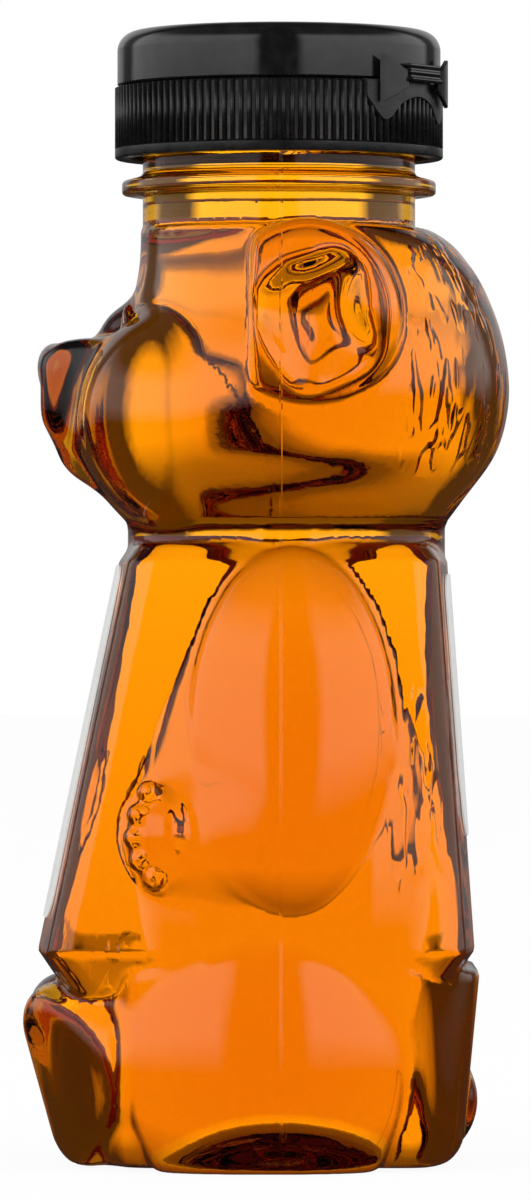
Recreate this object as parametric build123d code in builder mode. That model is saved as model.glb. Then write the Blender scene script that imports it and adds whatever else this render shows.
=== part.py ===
from build123d import *
from math import cos, pi, radians, sin
import os

# Honey bear bottle: a squeezable clear bottle moulded as a seated bear, full of honey, with a
# black flip-top closure on its neck and a plain label front and back. Millimetres, +Z up. The
# bear looks along -Y. The origin is on the neck's axis, in the plane that the bottle stands on.
# A form drawn in by inset serves as skin (0), cavity (the wall) and honey (wall and gap).

# Walls and clearances
overrun = 5.0  # how far a cut runs past the piece it cuts
wall = 0.8  # blown wall of the bear
honey_gap = 0.1  # between the honey and the wall, so that the two solids never bite
body_gap = 0.3  # between pieces that move against each other
seat_gap = 0.05  # between flat pieces that rest on each other

# Neck finish
neck_radius = 16.6
neck_bore = 15.2
neck_root_z = 104.0  # inside the crown of the head
rim_z = 129.2
ring_radius = 19.15  # support ring
ring_z = 117.7
ring_thickness = 1.8
ring_edge = 0.5
honey_level_z = 123.4

# Trunk: flat front and back label panels with round corners, wider at the hips
trunk_height = 75.0  # up to the shoulders
trunk_half = 25.0
trunk_depth = 29.3
panel_foot_z = 26.0
panel_head_z = 73.0
panel_foot_back = 23.8
panel_head_half = 20.0
panel_head_front = 19.5
panel_head_back = 20.5
panel_crown = 1.8  # how far the middle of the front and back panels stands proud
side_crown = 0.4
panel_corner = 3.0
panel_tuck = 6.0  # how far the panels draw in over the feet
tuck_drop = 9.0  # and over what height
shoulder_step = 1.4

# Belly: a pear that swells out of the flat flanks
belly_half = 27.4
belly_reach = 21.0
belly_corner_share = 0.55
# height, half width and reach along the bear
belly_shares = (
    (0.16, 0.93, 0.98),
    (0.42, 1.0, 1.0),
    (0.62, 0.93, 0.88),
    (0.80, 0.84, 0.66),
    (0.92, 0.75, 0.44),
    (0.99, 0.66, 0.30),
)

# Hips: the block that the bear sits on
hip_top_z = 24.0
hip_foot_half = 22.5
hip_front = 23.0
hip_back = 24.2
hip_foot_back = 21.8
hip_corner = 8.0
base_round = 4.2
push_up_radius = 14.3
push_up_height = 5.6

# Feet: flat oval soles that lean back
foot_side = 14.2
foot_ahead = 29.0
foot_rise = 10.0
foot_half = 10.4
foot_tall = 11.5
foot_lean = 15.5
foot_round = 4.6
foot_length = 15.0

# Limbs and tail, as shares of the trunk's half width, depth and height: side, ahead of the
# neck's axis when minus, height, and the three radii
limb_shares = {
    "thigh": (0.86, -0.08, 0.107, 0.308, 0.686, 0.319),
    "forearm": (0.92, -0.22, 0.537, 0.248, 0.396, 0.115),
    "paw": (0.93, -0.45, 0.536, 0.20, 0.157, 0.08),
}
arm_shares = (0.904, 0.048, 0.687, 0.248, 0.444, 0.313)
arm_lean = 7.0  # degrees that the upper arms lean in at the shoulder
tail_shares = (0.0, 0.62, 0.10, 0.24, 0.205, 0.092)

# Head
head_foot_z = 77.3
head_top_z = 113.6
head_half = 26.0
head_depth = 28.0
waist_step = 0.2  # how far the waist stands back under the jaw
# height up the head, half width, front and back
head_shares = (
    (0.0, 0.73, 0.665, 0.73),
    (0.085, 0.86, 0.75, 0.80),
    (0.24, 0.97, 0.845, 0.94),
    (0.39, 1.0, 0.82, 0.998),
    (0.57, 0.97, 0.73, 0.99),
    (0.735, 0.89, 0.645, 0.93),
    (0.88, 0.77, 0.607, 0.83),
    (0.96, 0.68, 0.597, 0.73),
)

# Face and ears, as shares of the head's half width, depth and height, laid out like the limbs
face_shares = {
    "muzzle": (0.0, -0.72, 0.446, 0.39, 0.325, 0.18),
    "nose": (0.0, -0.87, 0.51, 0.24, 0.17, 0.125),
    "bridge": (0.0, -0.52, 0.605, 0.25, 0.27, 0.17),
    "chin": (0.0, -0.685, 0.29, 0.39, 0.286, 0.17),
}
cheek_shares = (0.485, -0.486, 0.322, 0.369, 0.368, 0.314)
brow_shares = (0.29, -0.386, 0.75, 0.365, 0.236, 0.22)
ear_shares = (0.80, 0.121, 0.689, 0.345, 0.407, 0.325)
ear_bowl_shares = (1.20, 0.157, 0.67, 0.215, 0.26, 0.259)
ear_front = 3.4  # the ear's flat front edge, ahead of the neck's axis

# Labels: plain sheets on the front and back panels
label_thickness = 0.25
label_corner = 3.0
front_label_foot_z = 30.2
front_label_head_z = 72.6
front_label_foot_half = 18.5
front_label_head_half = 13.8
back_label_foot_z = 40.0
back_label_head_z = 71.5
back_label_foot_half = 16.5
back_label_head_half = 14.0

# Seal disc on the rim
seal_radius = 16.3
seal_thickness = 0.4

# Closure
cap_radius = 20.0  # over the ribs
skirt_foot_z = 122.1
skirt_band = 1.3  # smooth band below the ribs
skirt_bore = 18.2
deck_thickness = 1.2
deck_step = 0.5  # raised middle of the deck, inside the lid's rim
rib_count = 120
rib_depth = 0.45
rib_foot_share = 0.62  # of the ribs' pitch
rib_tip_share = 0.26
nozzle_radius = 3.7
nozzle_height = 3.0
nozzle_edge = 0.5
orifice_radius = 2.4
recess_width = 14.0  # thumb recess in the skirt, opposite the hinge
recess_drop = 2.6
recess_bite = 0.9

# Lid
lid_radius = 19.5
lid_wall = 1.2
lid_height = 7.0
lid_edge = 3.0
lid_crown = 0.4
plug_bite = 1.2  # how far the plug reaches into the orifice
tab_width = 11.0
tab_reach = 1.2
tab_thickness = 1.5

# Butterfly hinge, turned round the closure from the bear's left side towards its back
hinge_turn = 57.0
hinge_stand = 1.1  # axis outside the closure's radius
film_radius = 0.3
strap_width = 6.6
strap_height = 1.9
strap_tail = 1.9  # how far the closure's half of the strap hangs below the axis
wing_reach = 3.9  # along the skirt, from the strap's edge to the wing's free end
wing_root = 1.0  # half height beside the strap
wing_tip = 2.9  # half height at the free end
wing_thickness = 0.6
wing_stand = 0.45  # outside the ribs
pad_half = 8.6
pad_rise = 0.15
pad_depth = 4.9
# along the pad's half width, then down its depth
pad_shares = ((1.0, 0.45), (0.72, 1.0), (0.36, 0.56), (0.0, 0.40))

# Places worked out from the sizes above
deck_under_z = rim_z + seal_thickness + 2 * seat_gap
deck_z = deck_under_z + deck_thickness
step_z = deck_z + deck_step
step_radius = lid_radius - lid_wall - body_gap
nozzle_z = step_z + nozzle_height
lid_foot_z = deck_z + body_gap / 2
lid_top_z = lid_foot_z + lid_height
lid_edge_z = lid_top_z - lid_crown
lid_roof_z = lid_edge_z - lid_wall
plug_radius = orifice_radius - body_gap
plug_foot_z = nozzle_z - plug_bite
rib_root = cap_radius - rib_depth
skirt_middle = (skirt_bore + rib_root) / 2
axis_z = deck_z + body_gap / 4
axis_reach = cap_radius + hinge_stand
toward_hinge = Vector(1, 0, 0).rotate(Axis.Z, hinge_turn)
along_hinge = Vector(0, 1, 0).rotate(Axis.Z, hinge_turn)
hinge_side = Plane((0, 0, 0), x_dir=along_hinge, z_dir=toward_hinge)
thumb_side = Plane((0, 0, 0), x_dir=-along_hinge, z_dir=-toward_hinge)

os.makedirs("parts", exist_ok=True)


def egg(at, radii, inset, lean=0):
    """An egg-shaped swelling, drawn in by inset, that leans towards the middle."""
    with BuildPart() as form:
        Sphere(1)
        scale(by=tuple(radius - inset for radius in radii))
    return form.part.moved(Location(at, (0, -lean, 0)))


def body_egg(shares, inset, lean=0):
    """An egg placed and sized by shares of the trunk."""
    side, ahead, up, half, depth, tall = shares
    at = (side * trunk_half, ahead * trunk_depth, up * trunk_height)
    return egg(at, (half * trunk_half, depth * trunk_depth, tall * trunk_height), inset, lean)


def head_egg(shares, inset):
    """An egg placed and sized by shares of the head."""
    side, ahead, up, half, depth, tall = shares
    head_height = head_top_z - head_foot_z
    at = (side * head_half, ahead * head_depth, head_foot_z + up * head_height)
    return egg(at, (half * head_half, depth * head_depth, tall * head_height), inset)


def panel_ring(z, half, front, back, corner, inset):
    """One level four-sided section with crowned sides and round corners, drawn in by inset."""
    x_mid, y_front, y_back = half - inset, inset - front, back - inset
    x_corner = x_mid - side_crown
    front_corner = y_front + panel_crown
    back_corner = y_back - panel_crown
    y_mid = (y_front + y_back) / 2
    with BuildSketch(Plane.XY.offset(z)) as ring:
        with BuildLine():
            ThreePointArc((-x_corner, front_corner), (0, y_front), (x_corner, front_corner))
            ThreePointArc((x_corner, front_corner), (x_mid, y_mid), (x_corner, back_corner))
            ThreePointArc((x_corner, back_corner), (0, y_back), (-x_corner, back_corner))
            ThreePointArc((-x_corner, back_corner), (-x_mid, y_mid), (-x_corner, front_corner))
        make_face()
        fillet(ring.vertices(), corner - inset)
    return ring.sketch


def panel_form(inset):
    """The label panels and flanks, between the tuck above the base and the shoulders."""
    foot = (trunk_half, trunk_depth, panel_foot_back)
    head = (panel_head_half, panel_head_front, panel_head_back)
    tuck = tuple(size - panel_tuck for size in foot)
    shoulder = tuple(size - shoulder_step for size in head)
    tuck_ring = panel_ring(panel_foot_z - tuck_drop, *tuck, panel_corner, inset)
    foot_ring = panel_ring(panel_foot_z, *foot, panel_corner, inset)
    head_ring = panel_ring(panel_head_z, *head, panel_corner, inset)
    top_ring = panel_ring(trunk_height - inset, *shoulder, panel_corner - shoulder_step, inset)
    with BuildPart() as form:
        for lower, upper in ((tuck_ring, foot_ring), (foot_ring, head_ring), (head_ring, top_ring)):
            add(lower)
            add(upper)
            loft()
    return form.part


def waist_form(inset):
    """The short column between the shoulders and the jaw."""
    _, across, ahead, behind = head_shares[0]
    front, back = ahead * head_depth, behind * head_depth
    half, reach = across * head_half, (front + back) / 2
    with BuildPart() as form:
        with BuildSketch(Plane.XY.offset(trunk_height - shoulder_step - inset)):
            with Locations((0, (back - front) / 2)):
                Ellipse(half - waist_step - inset, reach - waist_step - inset)
        extrude(amount=head_foot_z - trunk_height + 2 * shoulder_step + inset)
    return form.part


def belly_form(inset):
    """The pear-shaped belly, lofted through rounded rectangles."""
    shift = (panel_head_back - panel_head_front) / 2
    with BuildPart() as form:
        for up, across, along in belly_shares:
            half, reach = across * belly_half - inset, along * belly_reach - inset
            with BuildSketch(Plane.XY.offset(up * trunk_height)):
                with Locations((0, shift)):
                    RectangleRounded(2 * half, 2 * reach, belly_corner_share * reach)
        loft()
    return form.part


def hip_form(inset):
    """The block between the feet and the tail, with the rounded edge that meets the table."""
    foot_ring = panel_ring(inset, hip_foot_half, hip_front, hip_foot_back, hip_corner, inset)
    top_ring = panel_ring(hip_top_z - inset, trunk_half, hip_front, hip_back, hip_corner, inset)
    with BuildPart() as form:
        add(foot_ring)
        add(top_ring)
        loft()
        fillet(form.faces().sort_by(Axis.Z)[0].edges(), base_round - inset)
    return form.part


def foot_form(inset):
    """One foot: a leaning oval sole that faces forwards, and the shin behind it."""
    lean = radians(foot_lean)
    sole = Plane(
        (foot_side, -foot_ahead, foot_rise), x_dir=(1, 0, 0), z_dir=(0, -cos(lean), -sin(lean)))
    with BuildPart() as form:
        with BuildSketch(sole.offset(-foot_length)):
            Ellipse(foot_half - inset, foot_tall - inset)
        extrude(amount=foot_length - inset)
        fillet(form.faces().sort_by(Axis.Y)[0].edges(), foot_round - inset)
    return form.part


def head_form(inset):
    """The skull, lofted through level ovals from the waist to the neck."""
    with BuildPart() as form:
        for up, across, ahead, behind in head_shares:
            front, back = ahead * head_depth, behind * head_depth
            z = head_foot_z + up * (head_top_z - head_foot_z)
            with BuildSketch(Plane.XY.offset(z)):
                with Locations((0, (back - front) / 2)):
                    Ellipse(across * head_half - inset, (back + front) / 2 - inset)
        with BuildSketch(Plane.XY.offset(head_top_z)):
            Circle(neck_radius - inset)
        loft()
    return form.part


def ear_form(inset):
    """One ear, with its flat front edge and the bowl in its side."""
    size = 2 * head_half
    shell, bowl = head_egg(ear_shares, inset), head_egg(ear_bowl_shares, -inset)
    with BuildPart() as form:
        add(shell)
        with Locations((0, inset - ear_front, head_foot_z)):
            Box(2 * size, size, 2 * size, align=(Align.CENTER, Align.MAX, Align.CENTER),
                mode=Mode.SUBTRACT)
        add(bowl, mode=Mode.SUBTRACT)
    return form.part


def bear_form(inset):
    """The whole bear up to its neck, drawn in by inset."""
    trunk = [hip_form(inset), panel_form(inset), belly_form(inset), waist_form(inset)]
    head = [head_form(inset)] + [head_egg(shares, inset) for shares in face_shares.values()]
    paired = [body_egg(shares, inset) for shares in limb_shares.values()]
    paired += [body_egg(arm_shares, inset, arm_lean), foot_form(inset), ear_form(inset)]
    paired += [head_egg(cheek_shares, inset), head_egg(brow_shares, inset)]
    twins = [mirror(piece, about=Plane.YZ, mode=Mode.PRIVATE) for piece in paired]
    tail = body_egg(tail_shares, inset)
    push_up = egg((0, 0, 0), (push_up_radius, push_up_radius, push_up_height), -inset)
    with BuildPart() as form:
        add(trunk + head + [tail] + paired + twins)
        split(bisect_by=Plane.XY.offset(inset), keep=Keep.TOP)
        add(push_up, mode=Mode.SUBTRACT)
    return form.part


def column(radius, foot_z, top_z):
    """A round column on the neck's axis."""
    with BuildPart() as form:
        with Locations((0, 0, foot_z)):
            Cylinder(radius, top_z - foot_z, align=(Align.CENTER, Align.CENTER, Align.MIN))
    return form.part


# Bottle: the bear and its neck finish, hollow up to the rim
skin = [bear_form(0), column(neck_radius, neck_root_z, rim_z)]
cavity = [bear_form(wall), column(neck_bore, neck_root_z, rim_z + overrun)]
with BuildPart() as bottle:
    add(skin)
    with BuildSketch(Plane.XZ):
        with BuildLine():
            Polyline(
                (neck_bore, ring_z),
                (ring_radius - ring_edge, ring_z),
                (ring_radius, ring_z + ring_edge),
                (ring_radius, ring_z + ring_thickness - ring_edge),
                (ring_radius - ring_edge, ring_z + ring_thickness),
                (neck_bore, ring_z + ring_thickness + ring_edge),
                close=True,
            )
        make_face()
    revolve(axis=Axis.Z)
    add(cavity, mode=Mode.SUBTRACT)
bottle.part.label = "bottle"

# Honey: fills the cavity up to its level in the neck
filling = [bear_form(wall + honey_gap),
           column(neck_bore - honey_gap, neck_root_z, honey_level_z)]
with BuildPart() as honey_fill:
    add(filling)
honey_fill.part.label = "honey_fill"


def label_sheet(facing, foot_z, head_z, foot_half, head_half):
    """A plain label: a thin skin over one panel, cut to a tapered outline."""
    outline = Plane((0, 0, 0), x_dir=(-facing, 0, 0), z_dir=(0, facing, 0))
    outer, inner = panel_form(-seat_gap - label_thickness), panel_form(-seat_gap)
    with BuildPart() as sheet:
        add(outer)
        add(inner, mode=Mode.SUBTRACT)
        with BuildSketch(outline) as shape:
            with BuildLine():
                Polyline(
                    (-foot_half, foot_z),
                    (foot_half, foot_z),
                    (head_half, head_z),
                    (-head_half, head_z),
                    close=True,
                )
            make_face()
            fillet(shape.vertices(), label_corner)
        extrude(amount=trunk_depth + overrun, mode=Mode.INTERSECT)
    return sheet.part


front_label = label_sheet(
    -1, front_label_foot_z, front_label_head_z, front_label_foot_half, front_label_head_half)
front_label.label = "front_label"
back_label = label_sheet(
    1, back_label_foot_z, back_label_head_z, back_label_foot_half, back_label_head_half)
back_label.label = "back_label"

# Seal: the foil disc over the rim
foil_seal = column(seal_radius, rim_z + seat_gap, rim_z + seat_gap + seal_thickness)
foil_seal.label = "foil_seal"

# Smooth pad that carries the hinge on the ribbed skirt
with BuildPart() as hinge_pad:
    with BuildSketch(hinge_side):
        with BuildLine():
            down = [(along * pad_half, deck_z - drop * pad_depth) for along, drop in pad_shares]
            edge = Spline(*down, *((-along, z) for along, z in reversed(down[:-1])))
            Polyline(edge @ 1, (-pad_half, deck_z), (pad_half, deck_z), edge @ 0)
        make_face()
    extrude(amount=cap_radius + overrun)
    with BuildSketch(Plane.XY.offset(skirt_foot_z)):
        Circle(cap_radius + pad_rise)
        Circle(skirt_middle, mode=Mode.SUBTRACT)
    extrude(amount=deck_z - skirt_foot_z, mode=Mode.INTERSECT)

# Cap base: ribbed skirt, deck and nozzle, and its half of the hinge's strap
with BuildPart() as cap_base:
    with BuildSketch(Plane.XY.offset(skirt_foot_z)):
        Circle(cap_radius)
        Circle(skirt_bore, mode=Mode.SUBTRACT)
    extrude(amount=skirt_band)
    pitch = 2 * pi * rib_root / rib_count
    foot, tip = rib_foot_share * pitch / 2, rib_tip_share * pitch / 2
    with BuildSketch(Plane.XY.offset(skirt_foot_z + skirt_band)):
        Circle(rib_root)
        with PolarLocations(rib_root, rib_count):
            Polygon((-rib_depth, -foot), (0, -foot), (rib_depth, -tip), (rib_depth, tip),
                    (0, foot), (-rib_depth, foot), align=None)
        Circle(skirt_bore, mode=Mode.SUBTRACT)
    extrude(amount=deck_z - skirt_foot_z - skirt_band)
    with BuildSketch(Plane.XZ):
        with BuildLine():
            Polyline(
                (orifice_radius, deck_under_z),
                (skirt_middle, deck_under_z),
                (skirt_middle, deck_z),
                (step_radius, deck_z),
                (step_radius, step_z),
                (nozzle_radius, step_z),
                (nozzle_radius, nozzle_z - nozzle_edge),
                (nozzle_radius - nozzle_edge, nozzle_z),
                (orifice_radius, nozzle_z),
                close=True,
            )
        make_face()
    revolve(axis=Axis.Z)
    add(hinge_pad.part)
    with BuildSketch(hinge_side.offset(skirt_middle)):
        with Locations((0, axis_z - body_gap - film_radius)):
            Rectangle(strap_width, strap_tail - body_gap - film_radius,
                      align=(Align.CENTER, Align.MAX))
    extrude(amount=axis_reach - body_gap - skirt_middle)
    with BuildSketch(thumb_side.offset(cap_radius - recess_bite)):
        with Locations((0, deck_z)):
            SlotOverall(recess_width, 2 * recess_drop)
    extrude(amount=overrun, mode=Mode.SUBTRACT)
cap_base.part.label = "cap_base"

# Lid: a shallow cup with a rounded edge, a plug for the nozzle and a thumb tab
with BuildPart() as flip_lid:
    with BuildSketch(Plane.XZ):
        with BuildLine():
            side = Line((lid_radius, lid_foot_z), (lid_radius, lid_edge_z - lid_edge))
            shoulder = JernArc(side @ 1, tangent=(0, 1), radius=lid_edge, arc_size=90)
            top = TangentArc((0, lid_top_z), shoulder @ 1, tangent=(1, 0))
            Polyline(
                top @ 0,
                (0, plug_foot_z),
                (plug_radius - body_gap, plug_foot_z),
                (plug_radius, plug_foot_z + body_gap),
                (plug_radius, lid_roof_z),
                (lid_radius - lid_edge, lid_roof_z),
                (lid_radius - lid_wall, lid_roof_z - lid_edge + lid_wall),
                (lid_radius - lid_wall, lid_foot_z),
                side @ 0,
            )
        make_face()
    revolve(axis=Axis.Z)
    with BuildSketch(thumb_side.offset(lid_radius - lid_wall / 2)):
        with Locations((0, lid_foot_z)):
            Rectangle(tab_width, tab_thickness, align=(Align.CENTER, Align.MIN))
    extrude(amount=lid_wall / 2 + tab_reach)
flip_lid.part.label = "flip_lid"

# Strap: the lid's half of the hinge's middle, with the film that turns on the axis
with BuildPart() as hinge_strap:
    with BuildSketch(hinge_side.offset(lid_radius - lid_wall)):
        with Locations((0, axis_z)):
            Rectangle(strap_width, strap_height, align=(Align.CENTER, Align.MIN))
    extrude(amount=axis_reach - lid_radius + lid_wall)
    film = Plane(toward_hinge * axis_reach + Vector(0, 0, axis_z), z_dir=along_hinge)
    with BuildSketch(film.offset(-strap_width / 2)):
        Circle(film_radius)
    extrude(amount=strap_width)
    add(column(lid_radius, deck_z, lid_top_z), mode=Mode.SUBTRACT)
hinge_strap.part.label = "hinge_strap"


def wing(side, rise):
    """Half of one hinge wing, above or below the fold, bowed round the closure."""
    near, far = side * strap_width / 2, side * (strap_width / 2 + wing_reach)
    fold = axis_z + rise * body_gap / 2
    with BuildPart() as half:
        with BuildSketch(hinge_side):
            with BuildLine():
                Polyline(
                    (near, fold),
                    (far, fold),
                    (far, axis_z + rise * wing_tip),
                    (near, axis_z + rise * wing_root),
                    close=True,
                )
            make_face()
        extrude(amount=cap_radius + overrun)
        with BuildSketch(Plane.XY.offset(axis_z - wing_tip)):
            Circle(cap_radius + wing_stand + wing_thickness)
            Circle(cap_radius + wing_stand, mode=Mode.SUBTRACT)
        extrude(amount=2 * wing_tip, mode=Mode.INTERSECT)
    return half.part


for part in (bottle.part, honey_fill.part, front_label, back_label, foil_seal,
             cap_base.part, flip_lid.part, hinge_strap.part):
    export_step(part, f"parts/{part.label}.step")

for name, side, rise in (
    ("wing_lower_left", -1, -1),
    ("wing_lower_right", 1, -1),
    ("wing_upper_left", -1, 1),
    ("wing_upper_right", 1, 1),
):
    half_wing = wing(side, rise)
    half_wing.label = name
    export_step(half_wing, f"parts/{name}.step")
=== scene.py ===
import bpy
import numpy as np
from itertools import combinations
from math import cos, pi, radians, sin, sqrt
from mathutils import Matrix, Vector


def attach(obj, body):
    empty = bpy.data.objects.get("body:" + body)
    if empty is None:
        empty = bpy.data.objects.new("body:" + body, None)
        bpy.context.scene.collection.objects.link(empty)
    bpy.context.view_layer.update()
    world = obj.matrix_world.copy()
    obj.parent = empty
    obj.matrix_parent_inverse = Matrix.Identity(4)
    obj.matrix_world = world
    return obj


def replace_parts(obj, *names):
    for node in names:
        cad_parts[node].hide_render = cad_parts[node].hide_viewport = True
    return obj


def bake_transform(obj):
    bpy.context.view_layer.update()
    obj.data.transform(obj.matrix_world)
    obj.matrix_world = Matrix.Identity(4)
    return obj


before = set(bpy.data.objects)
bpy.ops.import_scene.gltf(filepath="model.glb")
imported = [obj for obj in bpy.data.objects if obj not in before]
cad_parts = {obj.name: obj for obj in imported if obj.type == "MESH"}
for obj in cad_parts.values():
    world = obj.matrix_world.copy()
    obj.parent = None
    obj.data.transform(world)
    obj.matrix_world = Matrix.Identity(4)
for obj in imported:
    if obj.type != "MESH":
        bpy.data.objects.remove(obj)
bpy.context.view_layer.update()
scene = bpy.context.scene

# Honey bear bottle seen from its left side. The shapes are worked out in millimetres, +Z up, with
# the bear looking along -Y, and become metres when a mesh is made.


def node(tree, kind, **values):
    made = tree.nodes.new(kind)
    for key, value in values.items():
        if key in made.inputs:
            made.inputs[key].default_value = value
        else:
            setattr(made, key, value)
    return made


def wire(source, target):
    # a socket or a node's first output is linked, and a plain value is set
    if isinstance(source, bpy.types.Node):
        source = source.outputs[0]
    if isinstance(source, bpy.types.NodeSocket):
        target.id_data.links.new(source, target)
    else:
        target.default_value = source


def mathAt(tree, operation, *values):
    made = node(tree, "ShaderNodeMath", operation=operation)
    for value, socket in zip(values, made.inputs):
        wire(value, socket)
    return made


def mixAt(tree, blend, share, first, second):
    made = node(tree, "ShaderNodeMix", data_type="RGBA", blend_type=blend)
    for value, place in ((share, 0), (first, 6), (second, 7)):
        wire(value, made.inputs[place])
    return made.outputs[2]


def placeAt(tree):
    return node(tree, "ShaderNodeTexCoord").outputs["Object"]


def axesAt(tree, vector):
    split = node(tree, "ShaderNodeSeparateXYZ")
    wire(vector, split.inputs["Vector"])
    return split.outputs


def noiseAt(tree, scale, detail=2.0, stretch=None):
    where = placeAt(tree)
    if stretch:
        mapping = node(tree, "ShaderNodeMapping", Scale=stretch)
        wire(where, mapping.inputs["Vector"])
        where = mapping
    grain = node(tree, "ShaderNodeTexNoise", Scale=scale, Detail=detail)
    wire(where, grain.inputs["Vector"])
    return grain


def spread(tree, source, low, high, fromLow=0.3, fromHigh=0.7):
    mapped = node(tree, "ShaderNodeMapRange")
    values = {"Value": source, "From Min": fromLow, "From Max": fromHigh, "To Min": low, "To Max": high}
    for key, value in values.items():
        wire(value, mapped.inputs[key])
    return mapped


def bumps(tree, shader, *layers):
    # each layer is a height, or what makes a noise, and the depth of its bumps in metres
    last = None
    for source, depth in layers:
        bump = node(tree, "ShaderNodeBump", Strength=1.0, Distance=depth)
        wire(noiseAt(tree, *source) if isinstance(source, tuple) else source, bump.inputs["Height"])
        if last:
            wire(last, bump.inputs["Normal"])
        last = bump
    wire(last, shader.inputs["Normal"])


def inside(tree, source, middle, half, soft):
    # 1 within half of the middle, falling to 0 over the soft edge, all in metres
    off = mathAt(tree, "ABSOLUTE", mathAt(tree, "SUBTRACT", source, middle))
    return spread(tree, off, 1.0, 0.0, half, half + soft)


furLook = {
    "scale": 480.0, "stretch": (1.0, 1.0, 0.25), "edge": (0.52, 0.66),
    # middle and half of each patch along Y, then along Z, in metres
    "patches": ((0.0225, 0.0065, 0.099, 0.013), (0.0165, 0.0025, 0.046, 0.0115),
                (-0.0195, 0.002, 0.024, 0.0015)),
    "soft": (0.002, 0.003),
}


def furAt(tree):
    # strokes of fur on the back of the head, behind the arms and above the toes
    axes = axesAt(tree, placeAt(tree))
    stroke = spread(tree, noiseAt(tree, furLook["scale"], 1.0, furLook["stretch"]), 0.0, 1.0, *furLook["edge"])
    softY, softZ = furLook["soft"]
    furry = 0.0
    for y, halfY, z, halfZ in furLook["patches"]:
        patch = mathAt(tree, "MULTIPLY", inside(tree, axes["Y"], y, halfY, softY),
                       inside(tree, axes["Z"], z, halfZ, softZ))
        furry = mathAt(tree, "MAXIMUM", furry, patch)
    return mathAt(tree, "MULTIPLY", stroke, furry)


parting = {"middle": 0.0002, "half": 0.00006, "soft": 0.00012}


def partingAt(tree):
    # the line where the two halves of the mould met
    axes = axesAt(tree, placeAt(tree))
    return inside(tree, axes["Y"], parting["middle"], parting["half"], parting["soft"])


def newMaterial(name, **values):
    material = bpy.data.materials.new(name)
    material.use_nodes = True
    tree = material.node_tree
    shader = tree.nodes["Principled BSDF"]
    for key, value in values.items():
        shader.inputs[key.replace("_", " ")].default_value = value
    return material, tree, shader


white = (1.0, 1.0, 1.0, 1.0)

# A noise is (scale, detail) with its stretch if it has one, and goes with its depth where it makes bumps.
# Where honey wets the wall, the two bend light alike, so the index there is 1.
clearLook = {
    # name: tint, index, noise and most roughness of the haze
    "clearPlastic": ((1.0, 0.985, 0.96, 1.0), 1.5, (420.0, 3.0), 0.035),
    "wetPlastic": ((1.0, 0.99, 0.97, 1.0), 1.0, (300.0, 2.0), 0.01),
    "honeyInWall": (white, 1.0, (150.0, 2.0), 0.01),
    "honeySurface": (white, 1.49, (150.0, 2.0), 0.01),
}
skinLook = {
    "swell": ((95.0, 1.0, (1.0, 1.0, 0.45)), 0.0003), "furDepth": 0.00013, "partingDepth": 0.00004,
    "grain": ((900.0, 2.0), 0.000006),
}
honeyVolume = {"Color": (0.932, 0.777, 0.0, 1.0), "Density": 185.0}  # what a little honey lets through


def clearMaterial(name):
    tint, index, haze, roughest = clearLook[name]
    material, tree, shader = newMaterial(name, Base_Color=tint, Transmission_Weight=1.0, IOR=index)
    wire(spread(tree, noiseAt(tree, *haze), 0.0, roughest), shader.inputs["Roughness"])
    if name == "clearPlastic":
        bumps(tree, shader, skinLook["swell"], (furAt(tree), skinLook["furDepth"]),
              (partingAt(tree), skinLook["partingDepth"]), skinLook["grain"])
    if name.startswith("honey"):
        volume = node(tree, "ShaderNodeVolumeAbsorption", **honeyVolume)
        wire(volume, tree.nodes["Material Output"].inputs["Volume"])
    return material


filmLook = {
    "white": (0.86, 0.86, 0.85, 1.0), "shade": (0.79, 0.79, 0.77, 1.0), "roughness": 0.42, "index": 1.46,
    "tones": (160.0, 4.0), "fibre": ((2600.0, 2.0), 0.000012), "swell": ((60.0, 2.0), 0.00015),
}


def labelFilm():
    look = filmLook
    material, tree, shader = newMaterial("labelFilm", Roughness=look["roughness"], IOR=look["index"])
    share = spread(tree, noiseAt(tree, *look["tones"]), 0.0, 1.0)
    wire(mixAt(tree, "MIX", share, look["white"], look["shade"]), shader.inputs["Base Color"])
    bumps(tree, shader, look["fibre"], look["swell"])
    return material


def ridgesAt(tree, scale):
    # fine level ridges, as on the hinge's strap
    bands = node(tree, "ShaderNodeTexWave", bands_direction="Z", Scale=scale)
    wire(placeAt(tree), bands.inputs["Vector"])
    return bands.outputs["Fac"]


blackLook = {
    "black": (0.0045, 0.0045, 0.005, 1.0), "grey": (0.011, 0.011, 0.011, 1.0), "index": 1.6,
    "tones": (500.0, 5.0), "toneEdge": (0.45, 0.8), "haze": (700.0, 4.0), "grain": (3200.0, 3.0),
    "swell": (120.0, 2.0), "ridgeDepth": 0.00016,
    # name: least and most roughness, depth of the grain, depth of the swell, scale of the ridges
    "kinds": {"lidBlack": ((0.06, 0.13), 0.0000015, 0.00006, None),
              "skirtBlack": ((0.22, 0.42), 0.00002, 0.00005, None),
              "strapBlack": ((0.1, 0.2), 0.000002, 0.00006, 380.0)},
}


def blackPlastic(name):
    look = blackLook
    roughness, grainDepth, swellDepth, ridges = look["kinds"][name]
    material, tree, shader = newMaterial(name, IOR=look["index"])
    share = spread(tree, noiseAt(tree, *look["tones"]), 0.0, 1.0, *look["toneEdge"])
    wire(mixAt(tree, "MIX", share, look["black"], look["grey"]), shader.inputs["Base Color"])
    wire(spread(tree, noiseAt(tree, *look["haze"]), *roughness), shader.inputs["Roughness"])
    layers = [(look["grain"], grainDepth), (look["swell"], swellDepth)]
    if ridges:
        layers.append((ridgesAt(tree, ridges), look["ridgeDepth"]))
    bumps(tree, shader, *layers)
    return material


foilLook = {
    "silver": (0.83, 0.83, 0.84, 1.0), "haze": (800.0, 3.0), "roughness": (0.16, 0.34),
    "dent": ((240.0, 4.0), 0.0003), "grain": ((2400.0, 2.0), 0.00002),
}


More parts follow.
